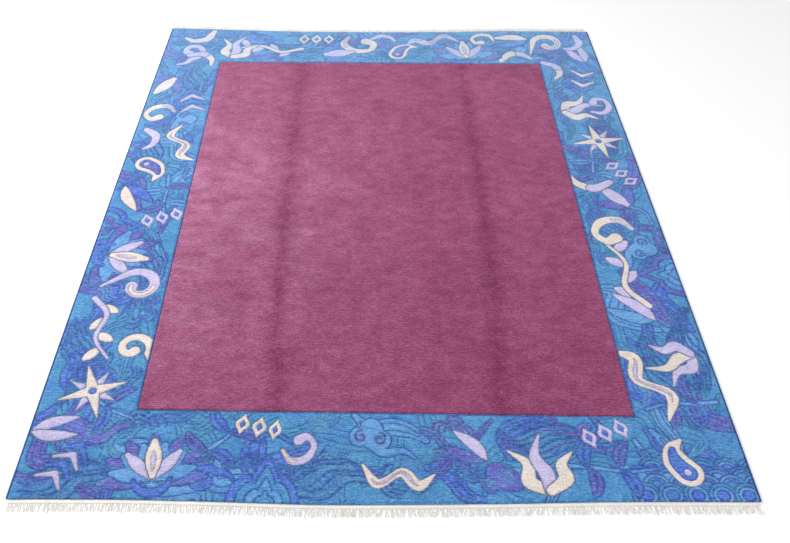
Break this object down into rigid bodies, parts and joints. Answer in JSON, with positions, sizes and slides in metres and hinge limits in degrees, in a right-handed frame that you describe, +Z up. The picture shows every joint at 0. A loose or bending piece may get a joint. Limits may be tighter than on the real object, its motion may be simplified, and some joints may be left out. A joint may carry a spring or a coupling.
{
  "type": "nepalese rug",
  "caption": "Rectangular hand-knotted wool rug lying flat, plain field in a carved patterned border, soft lengthwise creases, overcast sides and a short cotton fringe at each end.",
  "frame": {"origin": "middle of the whole footprint, fringes included, on the floor", "axes": "+X across the width, +Y along the length towards the far end, +Z up through the pile"},
  "size_m": [2.531, 3.1436, 0.013],
  "materials": {
    "wool_pile": "clipped wool pile, matt with a soft sheen",
    "overcasting": "wound wool yarn, matt",
    "cotton": "undyed cotton warp, matt"
  },
  "bodies": {
    "root": {"rug": "wool_pile", "side_binding_left": "overcasting", "side_binding_right": "overcasting", "fringe_near": "cotton", "fringe_far": "cotton"}
  },
  "joints": []
}
